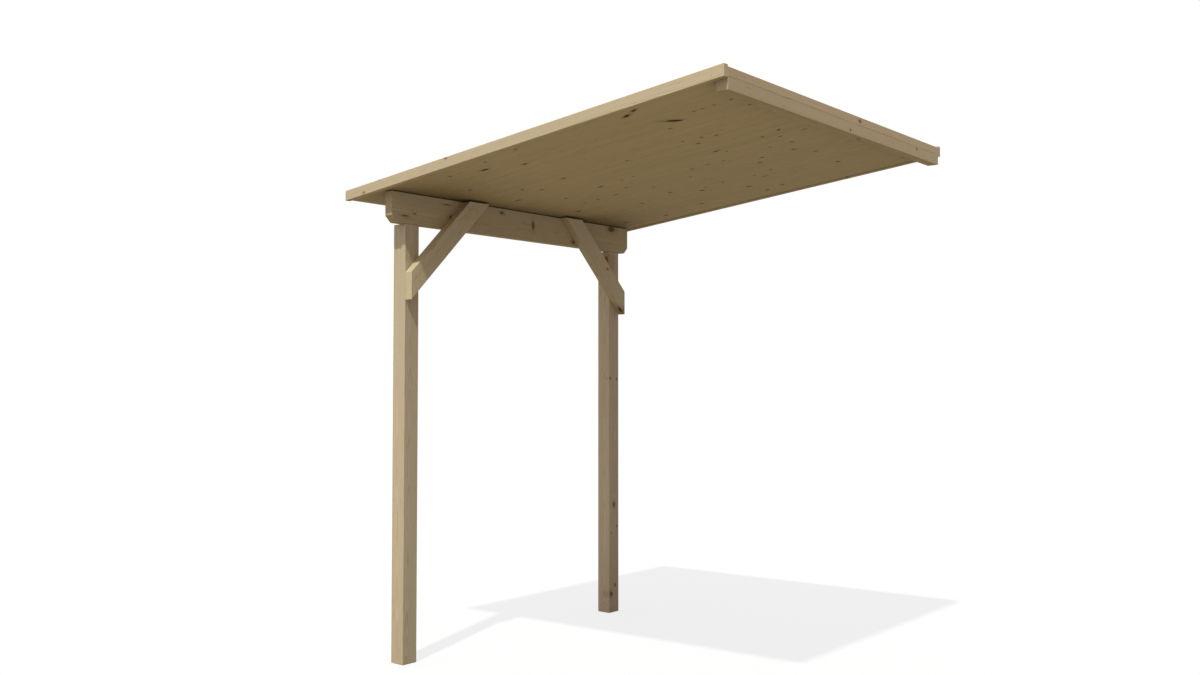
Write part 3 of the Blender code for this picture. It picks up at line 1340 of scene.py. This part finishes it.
@dataclass
class EaveBeam:
    """The beam on edge on the post tops, with its lower corners cut off.

    Attributes:
        arris: the radius of its arrises.
        end_chamfer: how far its lower corners are cut off.
        grain: how it was cut.
        knots: its knots.
    """

    arris: float = 0.002
    end_chamfer: float = 0.033
    grain: Grain = Grain(Cut.SIDE_OF_HEART, 21, 0.98)
    knots: tuple[Knot, ...] = (
        Knot((0.862, -2.022, -0.309), Side.WALL, 0.004, 4.5, age=0.2),
        Knot((0.798, -2.022, -0.292), Side.WALL, 0.004, 1.2, age=0.2),
        Knot((0.580, -2.022, -0.219), Side.WALL, 0.003, 6.0, age=0.1),
        Knot((0.548, -2.022, -0.284), Side.WALL, 0.008, 1.3, age=0.2),
        Knot((0.169, -2.022, -0.216), Side.WALL, 0.006, 2.2, age=0.2),
        Knot((-0.083, -2.022, -0.259), Side.WALL, 0.008, 2.4, 90, 0.2),
        Knot((-0.430, -2.022, -0.323), Side.WALL, 0.008, 1.3, age=0.1),
        Knot((-0.788, -2.022, -0.209), Side.WALL, 0.014, 2.0, age=0.35),
        Knot((0.50, -2.072, -0.25), Side.OUTSIDE, 0.009),
        Knot((-0.22, -2.072, -0.30), Side.OUTSIDE, 0.007),
    )

    def build(self, workshop: Workshop) -> None:
        """Make the beam.

        Args:
            workshop: where it is made.
        """
        low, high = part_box("eave_beam")
        size = high - low
        cut = self.end_chamfer
        half, rise = size.x / 2, size.z / 2
        outline = [
            (-half + cut, -rise),
            (half - cut, -rise),
            (half, -rise + cut),
            (half, rise),
            (-half, rise),
            (-half, -rise + cut),
        ]
        mesh = prism(outline, size.y, face_through)
        round_arrises(mesh, self.arris)
        world = placed(middle(low, high), Side.RIGHT.value, Side.UP.value)
        workshop.timber("eave_beam", mesh, world, FRAME_PINE, self.grain, self.knots, size.y / 2, Slot.FRAME)


@dataclass
class Braces:
    """The two braces at 45 degrees on the wall side of post and beam.

    Attributes:
        arris: the radius of their arrises.
        width: how wide a brace is across its grain.
        first_seed: the seed of the first brace's wood.
        screws: where the screws of each brace are along X and Z.
        knots: the knots of each brace.
    """

    arris: float = 0.002
    width: float = 0.100
    first_seed: int = 31
    screws: dict[str, tuple[Point, ...]] = field(default_factory=lambda: {
        "brace_right": ((0.467, -0.282), (0.408, -0.244), (0.829, -0.620), (0.796, -0.640)),
        "brace_left": ((-0.444, -0.227), (-0.413, -0.272), (-0.829, -0.620), (-0.796, -0.640)),
    })
    knots: dict[str, tuple[Knot, ...]] = field(default_factory=lambda: {
        "brace_right": (
            Knot((0.690, -2.022, -0.500), Side.OUTSIDE, 0.008),
        ),
        "brace_left": (
            Knot((-0.690, -1.972, -0.465), Side.WALL, 0.005, 1.5, 30, 0.15),
            # A dark mark on the underside of the foot, drawn as an old knot.
            Knot((-0.830, -1.984, -0.707), Side.RIGHT, 0.011, 1.6, age=0.6),
            Knot((-0.640, -2.022, -0.450), Side.OUTSIDE, 0.007),
        ),
    })

    def build(self, workshop: Workshop) -> None:
        """Make both braces, cut plumb at the foot and level at the head.

        Args:
            workshop: where they are made.
        """
        for seed, (node, side) in enumerate((("brace_left", -1), ("brace_right", 1)), start=self.first_seed):
            low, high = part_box(node)
            size = high - low
            half, rise = size.x / 2, size.z / 2
            plumb = self.width * math.sqrt(2)
            corners = [
                (side * half, -rise),
                (side * half, -rise + plumb),
                (side * (half - (size.z - plumb)), rise),
                (-side * half, rise),
            ]
            world = placed(middle(low, high), (-side, 0, 1), (side, 0, 1))
            turn = world.to_3x3().inverted()
            outline = [tuple((turn @ Vector((x, 0, z))).xy) for x, z in corners]
            mesh = prism(outline, size.y, face_through)
            round_arrises(mesh, self.arris)
            grain = Grain(Cut.RIFT_SAWN, seed)
            knots = self.knots[node]
            brace = workshop.timber(node, mesh, world, BRACE_PINE, grain, knots, size.y / 2, Slot.FRAME)
            screws = [(x, high.y, z) for x, z in self.screws[node]]
            workshop.drive(f"{node}_screws", COUNTERSUNK_SCREW, screws, Side.WALL.value, brace)


@dataclass
class WallLedger:
    """The ledger on the wall, level below and planed to the roof's pitch above.

    Attributes:
        arris: the radius of its arrises.
        face_height: its height at the wall.
        grain: how it was cut.
        bolts: where each coach screw is along X.
        bolt_rise: how high they are above its underside.
        knots: its knots.
    """

    arris: float = 0.0012
    face_height: float = 0.052
    grain: Grain = Grain(Cut.SIDE_OF_HEART, 41)
    bolts: tuple[float, ...] = (-0.86, -0.29, 0.29, 0.86)
    bolt_rise: float = 0.023
    knots: tuple[Knot, ...] = (
        Knot((-0.017, 0.0, -0.010), Side.WALL, 0.004),
        Knot((-0.723, 0.0, 0.014), Side.WALL, 0.004, 1.4),
        Knot((0.61, -0.055, -0.010), Side.OUTSIDE, 0.006),
        Knot((-0.15, -0.030, -0.026), Side.DOWN, 0.006),
    )

    def build(self, workshop: Workshop) -> None:
        """Make the ledger with its coach screws.

        Args:
            workshop: where it is made.
        """
        low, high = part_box("wall_ledger")
        centre = middle(low, high)
        size = high - low
        top = low.z + self.face_height
        section = [
            (low.y - centre.y, low.z - centre.z),
            (high.y - centre.y, low.z - centre.z),
            (high.y - centre.y, top - centre.z),
            (low.y - centre.y, top - centre.z - size.y * SLOPE),
        ]
        mesh = prism(section, size.x, section_along)
        round_arrises(mesh, self.arris)
        world = placed(centre, Side.RIGHT.value, Side.WALL.value)
        workshop.timber(
            "wall_ledger", mesh, world, FRAME_PINE, self.grain, self.knots, size.y / 2, Slot.FRAME
        )
        bolts = [(x, low.y, low.z + self.bolt_rise) for x in self.bolts]
        workshop.drive("wall_ledger_coach_screws", COACH_SCREW, bolts, Side.OUTSIDE.value)


def climbing(mesh: bmesh.types.BMesh) -> None:
    """Cut the ends of a timber plumb where its grain climbs with the roof."""
    for vertex in mesh.verts:
        vertex.co.x += vertex.co.z * SLOPE


def roof_place(centre: Vector) -> Matrix:
    """The place of a timber whose grain climbs with the roof and whose own Y axis points left."""
    return placed(centre, (0, math.cos(ROOF_PITCH), math.sin(ROOF_PITCH)), Side.LEFT.value)


@dataclass
class SideFascias:
    """The fascias along both sides of the roof, cut plumb at their ends.

    Attributes:
        arris: the radius of their arrises.
        first_seed: the seed of the first fascia's wood.
        nail_rows: where each pair of nails is along Y.
        nail_rises: how high the nails of a pair are above the boards' underside.
        knots: the knots of each fascia.
    """

    arris: float = 0.002
    first_seed: int = 51
    nail_rows: tuple[float, ...] = (-0.06, -0.50, -0.94, -1.38, -1.82, -2.25)
    nail_rises: tuple[float, ...] = (0.005, 0.014)
    knots: dict[str, tuple[Knot, ...]] = field(default_factory=lambda: {
        "side_fascia_right": (
            Knot((1.012, -1.557, -0.099), Side.RIGHT, 0.004, 1.8, age=0.2),
            Knot((1.012, -2.162, -0.196), Side.RIGHT, 0.004, 1.8, age=0.1),
            Knot((0.984, -1.20, -0.115), Side.LEFT, 0.005),
        ),
        "side_fascia_left": (
            Knot((-1.012, -0.52, -0.028), Side.LEFT, 0.005),
            Knot((-1.012, -1.46, -0.120), Side.LEFT, 0.004),
        ),
    })

    def build(self, workshop: Workshop) -> None:
        """Make both fascias with their nails.

        Args:
            workshop: where they are made.
        """
        sides = {"side_fascia_left": Side.LEFT, "side_fascia_right": Side.RIGHT}
        for seed, (node, side) in enumerate(sides.items(), start=self.first_seed):
            low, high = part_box(node)
            size = high - low
            height = (size.z - size.y * SLOPE) * math.cos(ROOF_PITCH)
            mesh = prism(rectangle(size.x, height), size.y / math.cos(ROOF_PITCH), section_along)
            climbing(mesh)
            round_arrises(mesh, self.arris)
            world = roof_place(middle(low, high))
            grain = Grain(Cut.RIFT_SAWN, seed)
            knots = self.knots[node]
            fascia = workshop.timber(node, mesh, world, EDGE_PINE, grain, knots, size.x, Slot.EDGE)
            face = high.x if side is Side.RIGHT else low.x
            nails = [(face, y, soffit(y) + rise) for y in self.nail_rows for rise in self.nail_rises]
            workshop.drive(f"{node}_nails", LOST_HEAD_NAIL, nails, side.value, fascia)


@dataclass
class EndBoards:
    """The boards that close the roof at the wall and at the eave.

    Attributes:
        arris: the radius of their arrises.
        first_seed: the seed of the first board's wood.
        nail_count: how many nails hold each.
        nail_rise: how high they are above the boards' underside.
        knots: the knots of each.
    """

    arris: float = 0.0012
    first_seed: int = 61
    nail_count: int = 9
    nail_rise: float = 0.0095
    knots: dict[str, tuple[Knot, ...]] = field(default_factory=lambda: {
        "wall_trim": (
            Knot((-0.109, 0.0, 0.045), Side.WALL, 0.006, 1.7),
        ),
        "eave_trim": (
            Knot((0.30, -2.31, -0.195), Side.OUTSIDE, 0.005),
            Knot((-0.55, -2.31, -0.200), Side.OUTSIDE, 0.006),
        ),
    })

    def build(self, workshop: Workshop) -> None:
        """Make both end boards, their tops and undersides planed to the pitch.

        Args:
            workshop: where they are made.
        """
        sides = {"wall_trim": Side.WALL, "eave_trim": Side.OUTSIDE}
        for seed, (node, side) in enumerate(sides.items(), start=self.first_seed):
            low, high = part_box(node)
            size = high - low
            climb = size.y * SLOPE
            section = [
                (-size.y / 2, -size.z / 2),
                (size.y / 2, -size.z / 2 + climb),
                (size.y / 2, size.z / 2),
                (-size.y / 2, size.z / 2 - climb),
            ]
            mesh = prism(section, size.x, section_along)
            round_arrises(mesh, self.arris)
            world = placed(middle(low, high), Side.RIGHT.value, Side.WALL.value)
            grain = Grain(Cut.FLAT_SAWN, seed)
            knots = self.knots[node]
            board = workshop.timber(node, mesh, world, TRIM_PINE, grain, knots, size.y, Slot.EDGE)
            face = high.y if side is Side.WALL else low.y
            step = size.x / self.nail_count
            rise = soffit(face) + self.nail_rise
            nails = [(low.x + step * (index + 0.5), face, rise) for index in range(self.nail_count)]
            workshop.drive(f"{node}_nails", LOST_HEAD_NAIL, nails, side.value, board)


@dataclass
class RoofBoards:
    """The tongue and groove boards, laid from one fascia to the other with their V joints below.

    Attributes:
        count: how many boards the roof has.
        tongue: how far a tongue stands out.
        tongue_thickness: its thickness.
        groove_room: how much deeper a groove is than a tongue is long.
        slack: how much room a tongue has above and below.
        chamfer: the bevel along the lower edges, half of a V joint.
        top_chamfer: the bevel along the upper edges.
        dice_seed: starts the draw of the boards' tones and cuts.
        first_seed: the seed of the first board's wood.
        cuts: the cuts that a board is drawn from.
        tone_spread: how much lighter or darker a board is than its neighbours.
        shade_lean: painted shade: how much lighter the boards are painted for each metre to the right,
            darker towards the left.
        nail_rows: where the nails are along Y, over the ledger and over the beam.
        nail_edge: how far they are from a board's edges.
        oldest_knot: the radius of a knot that would be quite dead.
        oldest_age: the age that no knot goes beyond.
        knots_below: X, Y, radius, stretch and turn of each knot on the underside.
    """

    count: int = 18
    tongue: float = 0.008
    tongue_thickness: float = 0.006
    groove_room: float = 0.001
    slack: float = 0.0003
    chamfer: float = 0.0004
    top_chamfer: float = 0.0012
    dice_seed: int = 7
    first_seed: int = 100
    cuts: tuple[Cut, ...] = (Cut.FLAT_SAWN, Cut.FLAT_SAWN, Cut.RIFT_SAWN)
    tone_spread: float = 0.008
    shade_lean: float = 0.055
    nail_rows: tuple[float, ...] = (-0.0365, -2.047)
    nail_edge: float = 0.025
    oldest_knot: float = 0.0105
    oldest_age: float = 0.85
    knots_below: tuple[tuple[float, ...], ...] = (
        (0.910, -0.555, 0.0084, 2.4, 25),
        (0.944, -0.490, 0.0068, 2.4, 25),
        (0.680, -0.470, 0.0110, 3.4, -47),
        (0.725, -0.155, 0.0035, 1.8, 0),
        (0.724, -0.240, 0.0030, 1.5, 0),
        (0.722, -0.300, 0.0035, 1.5, 0),
        (0.722, -0.342, 0.0035, 1.4, 0),
        (0.598, -0.145, 0.0040, 1.4, 0),
        (0.160, -0.268, 0.0048, 1.7, 40),
        (0.055, -0.322, 0.0040, 1.6, 0),
        (0.122, -0.378, 0.0045, 1.5, 0),
        (0.062, -0.190, 0.0030, 3.0, 0),
        (0.335, -0.488, 0.0050, 1.5, 0),
        (0.602, -0.553, 0.0040, 1.3, 0),
        (0.365, -0.550, 0.0045, 1.5, 0),
        (0.292, -0.620, 0.0050, 1.6, 0),
        (0.385, -0.642, 0.0030, 1.5, 0),
        (0.105, -0.645, 0.0062, 1.8, 0),
        (0.053, -0.620, 0.0030, 1.4, 0),
        (0.345, -1.000, 0.0030, 1.8, 0),
        (0.723, -1.320, 0.0064, 1.8, 0),
        (0.811, -1.500, 0.0080, 2.4, 0),
        (0.356, -1.402, 0.0055, 1.8, 0),
        (0.371, -1.674, 0.0045, 1.5, 0),
        (0.276, -1.620, 0.0040, 2.0, 0),
        (0.070, -1.175, 0.0035, 1.6, 0),
        (0.060, -1.260, 0.0035, 1.5, 0),
        (0.050, -1.412, 0.0062, 1.8, 0),
        (0.014, -1.687, 0.0045, 1.5, 0),
        (0.215, -1.855, 0.0065, 2.0, 0),
        (0.593, -1.830, 0.0050, 1.6, 0),
        (0.870, -1.682, 0.0045, 1.5, 0),
        (0.905, -1.400, 0.0040, 1.5, 0),
        (0.940, -1.170, 0.0040, 1.8, 0),
        (-0.075, -0.335, 0.0045, 1.5, 0),
        (-0.205, -0.402, 0.0047, 1.9, 0),
        (-0.335, -0.352, 0.0048, 1.5, 0),
        (-0.068, -0.450, 0.0032, 1.5, 0),
        (-0.200, -0.576, 0.0048, 1.4, 0),
        (-0.277, -0.636, 0.0050, 1.8, 0),
        (-0.628, -0.385, 0.0061, 1.5, 0),
        (-0.460, -0.685, 0.0034, 1.5, 0),
        (-0.547, -0.776, 0.0058, 1.9, 0),
        (-0.485, -0.800, 0.0034, 1.8, 0),
        (-0.815, -0.822, 0.0058, 1.5, 0),
        (-0.850, -0.940, 0.0050, 2.4, 35),
        (-0.680, -0.955, 0.0060, 1.7, 0),
        (-0.460, -0.980, 0.0040, 1.5, 0),
        (-0.080, -0.725, 0.0036, 1.5, 0),
        (-0.070, -0.815, 0.0036, 1.5, 0),
        (-0.070, -0.910, 0.0036, 1.5, 0),
        (-0.870, -0.145, 0.0045, 1.5, 0),
        (-0.200, -1.010, 0.0034, 1.4, 0),
        (-0.518, -1.156, 0.0066, 1.5, 0),
        (-0.473, -1.100, 0.0034, 1.5, 0),
        (-0.216, -1.260, 0.0042, 1.6, 0),
        (-0.397, -1.285, 0.0056, 1.6, 0),
        (-0.795, -1.347, 0.0056, 1.6, 0),
        (-0.468, -1.533, 0.0048, 1.6, 0),
        (-0.161, -1.604, 0.0046, 1.6, 0),
        (-0.166, -1.483, 0.0040, 2.2, 0),
        (-0.170, -1.704, 0.0036, 1.6, 0),
        (-0.085, -1.347, 0.0036, 1.6, 0),
        (-0.860, -1.654, 0.0054, 2.4, 30),
        (-0.292, -1.860, 0.0064, 1.8, 0),
        (-0.795, -1.910, 0.0064, 1.7, 0),
    )

    def section(self, width: float, thickness: float, grooved: bool, tongued: bool) -> list[Point]:
        """A board's section about the middle of its cover, its groove on the left.

        Args:
            width: the width that the board covers.
            thickness: its thickness.
            grooved: whether the left edge has a groove.
            tongued: whether the right edge has a tongue.

        Returns:
            The corners, in order.
        """
        left, right = -width / 2, width / 2
        bottom, top = -thickness / 2, thickness / 2
        tongue = self.tongue_thickness / 2
        groove = tongue + self.slack
        deep = left + self.tongue + self.groove_room
        if tongued:
            points = [
                (right - self.chamfer, bottom),
                (right, bottom + self.chamfer),
                (right, -tongue),
                (right + self.tongue, -tongue),
                (right + self.tongue, tongue),
                (right, tongue),
                (right, top - self.top_chamfer),
                (right - self.top_chamfer, top),
            ]
        else:
            points = [(right, bottom), (right, top)]
        if grooved:
            points += [
                (left + self.top_chamfer, top),
                (left, top - self.top_chamfer),
                (left, groove),
                (deep, groove),
                (deep, -groove),
                (left, -groove),
                (left, bottom + self.chamfer),
                (left + self.chamfer, bottom),
            ]
        else:
            points += [(left, top), (left, bottom)]
        return points

    def knots_between(self, left: float, right: float) -> tuple[Knot, ...]:
        """The knots of the board that covers a stretch of the roof.

        Args:
            left: where the board begins.
            right: where its cover ends.

        Returns:
            Its knots, the wider the older.
        """
        knots = []
        for x, y, radius, stretch, turn in self.knots_below:
            if left <= x < right:
                age = min(self.oldest_age, radius / self.oldest_knot)
                knots.append(Knot((x, y, soffit(y)), Side.DOWN, radius, stretch, turn, age))
        return tuple(knots)

    def build(self, workshop: Workshop) -> None:
        """Make every board with its own stretch of wood and its own knots, and nail it down.

        Args:
            workshop: where they are made.
        """
        dice = random.Random(self.dice_seed)
        nails: list[Place] = []
        for index in range(self.count):
            node = f"roof_board_{index + 1:02d}"
            low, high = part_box(node)
            tongued = index < self.count - 1
            right = high.x - (self.tongue if tongued else 0.0)
            depth = high.y - low.y
            thickness = (high.z - low.z - depth * SLOPE) * math.cos(ROOF_PITCH)
            outline = self.section(right - low.x, thickness, grooved=index > 0, tongued=tongued)
            # The board's own Y axis points left, so the section is turned over to keep its groove there.
            mesh = prism([(-x, z) for x, z in outline], depth / math.cos(ROOF_PITCH), section_along)
            climbing(mesh)
            centre = Vector(((low.x + right) / 2, (low.y + high.y) / 2, (low.z + high.z) / 2))
            # Painted shade: the boards' tone also grows lighter to the right.
            tone = 1.0 + dice.uniform(-self.tone_spread, self.tone_spread) + self.shade_lean * centre.x
            grain = Grain(dice.choice(self.cuts), self.first_seed + index, tone)
            knots = self.knots_between(low.x, right)
            workshop.timber(node, mesh, roof_place(centre), ROOF_PINE, grain, knots, thickness, Slot.ROOF)
            lift = thickness / math.cos(ROOF_PITCH)
            edges = (low.x + self.nail_edge, right - self.nail_edge)
            nails += [(x, y, soffit(y) + lift) for y in self.nail_rows for x in edges]
        upwards = (0, -math.sin(ROOF_PITCH), math.cos(ROOF_PITCH))
        workshop.drive("roof_board_nails", ROOFING_NAIL, nails, upwards)


@dataclass
class Studio:
    """The plain pale floor, the light and the camera.

    Attributes:
        floor_size: the side of the square floor.
        floor_white: the colour of the floor that takes the shadow.
        floor_bounce: how much light the floor sends back up.
        shadow_share: how strongly shadows show on the white floor.
        sky: the strength of the light from all round.
        sky_colour: its colour.
        sky_lean: how much stronger it is from the far end of each axis, as a share of the whole.
        sun: the strength of the sun.
        sun_colour: its colour.
        sun_from: the way to the sun.
        sun_angle: how wide the sun is, which softens shadows.
        sun_distance: how far off its lamp stands.
        camera_place: where the camera stands.
        camera_turn: its turn about each axis.
        lens: its focal length in millimetres.
    """

    floor_size: float = 60.0
    floor_white: Colour = (0.9, 0.9, 0.9)
    floor_bounce: Colour = (0.300, 0.286, 0.295)
    shadow_share: float = 0.22
    sky: float = 0.531
    sky_colour: Colour = (0.990, 0.940, 1.0)
    sky_lean: Place = (0.30, -0.37, 0.0)
    sun: float = 2.48
    sun_colour: Colour = (0.941, 1.0, 0.927)
    sun_from: Place = (0.486, 0.175, 0.856)
    sun_angle: float = math.radians(1.5)
    sun_distance: float = 8.0
    camera_place: Place = (4.5616, 2.3400, -1.1316)
    camera_turn: Place = (math.pi / 2 + 0.03665, 0.0, 2.26497)
    lens: float = 33.608

    @staticmethod
    def seen_directly(draw: Sketch) -> Socket:
        """Which rays see the white of the floor and the sky.

        Args:
            draw: the sketch of the floor's or the sky's nodes.

        Returns:
            1 for rays from the camera, a mirror or glass, and 0 for light that bounces about.
        """
        rays = draw.node("ShaderNodeLightPath").outputs
        seen = draw.math("MAXIMUM", rays["Is Camera Ray"], rays["Is Glossy Ray"])
        return draw.math("MAXIMUM", seen, rays["Is Transmission Ray"])

    def build_floor(self, height: float) -> None:
        """Lay the floor: white with the object's shadow where it is seen, and grey where it lights.

        Args:
            height: the height of the floor.
        """
        bpy.ops.mesh.primitive_grid_add(
            size=self.floor_size, x_subdivisions=2, y_subdivisions=2, location=(0, 0, height)
        )
        floor = bpy.context.object
        floor.name = "floor"
        material = bpy.data.materials.new("floor_white")
        material.use_nodes = True
        draw = Sketch(material.node_tree)
        draw.tree.nodes.clear()
        white = draw.node("ShaderNodeEmission", Color=WHITE, Strength=1.0)
        matt = draw.node("ShaderNodeBsdfDiffuse", Color=self.floor_white)
        shown = draw.node("ShaderNodeMixShader", Fac=self.shadow_share)
        draw.feed(shown.inputs[1], white.outputs[0])
        draw.feed(shown.inputs[2], matt.outputs[0])
        bounce = draw.node("ShaderNodeBsdfDiffuse", Color=self.floor_bounce)
        both = draw.node("ShaderNodeMixShader", Fac=self.seen_directly(draw))
        draw.feed(both.inputs[1], bounce.outputs[0])
        draw.feed(both.inputs[2], shown.outputs[0])
        leave = draw.node("ShaderNodeOutputMaterial")
        draw.feed(leave.inputs["Surface"], both.outputs[0])
        floor.data.materials.append(material)

    def build_sky(self) -> None:
        """A sky that is seen as pure white and lights a little more from the right and from outside."""
        world = bpy.data.worlds.new("studio")
        world.use_nodes = True
        draw = Sketch(world.node_tree)
        draw.tree.nodes.clear()
        way = draw.node("ShaderNodeTexCoord").outputs["Generated"]
        lean = draw.plus(draw.vector("DOT_PRODUCT", way, self.sky_lean), 1.0)
        lit = draw.node("ShaderNodeBackground", Color=self.sky_colour, Strength=draw.times(lean, self.sky))
        shown = draw.node("ShaderNodeBackground", Color=WHITE, Strength=1.0)
        both = draw.node("ShaderNodeMixShader", Fac=self.seen_directly(draw))
        draw.feed(both.inputs[1], lit.outputs[0])
        draw.feed(both.inputs[2], shown.outputs[0])
        leave = draw.node("ShaderNodeOutputWorld")
        draw.feed(leave.inputs["Surface"], both.outputs[0])
        bpy.context.scene.world = world

    def build_sun(self) -> None:
        """One sun, high up, from the right and a little from the wall's side."""
        lamp = bpy.data.lights.new("sun", "SUN")
        lamp.energy = self.sun
        lamp.color = self.sun_colour
        lamp.angle = self.sun_angle
        light = bpy.data.objects.new("sun", lamp)
        light.rotation_euler = Vector(self.sun_from).to_track_quat("Z", "Y").to_euler()
        light.location = Vector(self.sun_from) * self.sun_distance
        bpy.context.scene.collection.objects.link(light)

    def build_camera(self) -> None:
        """The photograph's view, from the wall side and from below the roof."""
        data = bpy.data.cameras.new("camera")
        data.lens = self.lens
        camera = bpy.data.objects.new("camera", data)
        camera.location = self.camera_place
        camera.rotation_euler = self.camera_turn
        bpy.context.scene.collection.objects.link(camera)
        bpy.context.scene.camera = camera

    def build(self) -> None:
        """Set the whole studio up."""
        self.build_floor(CAD_BOX[0].z)
        self.build_sky()
        self.build_sun()
        self.build_camera()
        bpy.context.scene.view_settings.view_transform = "Standard"
        LOG.info("studio: floor, sky, sun and camera")


def main() -> None:
    """Build every sub-assembly in order."""
    logging.basicConfig(level=logging.INFO, format="%(name)s: %(message)s")
    workshop = Workshop(PineShop())
    for assembly in (Posts(), EaveBeam(), Braces(), WallLedger(), SideFascias(), EndBoards(), RoofBoards()):
        assembly.build(workshop)
    Studio().build()
    LOG.info("side canopy: %d pieces", len(workshop.pieces))


if __name__ == "__main__":
    main()
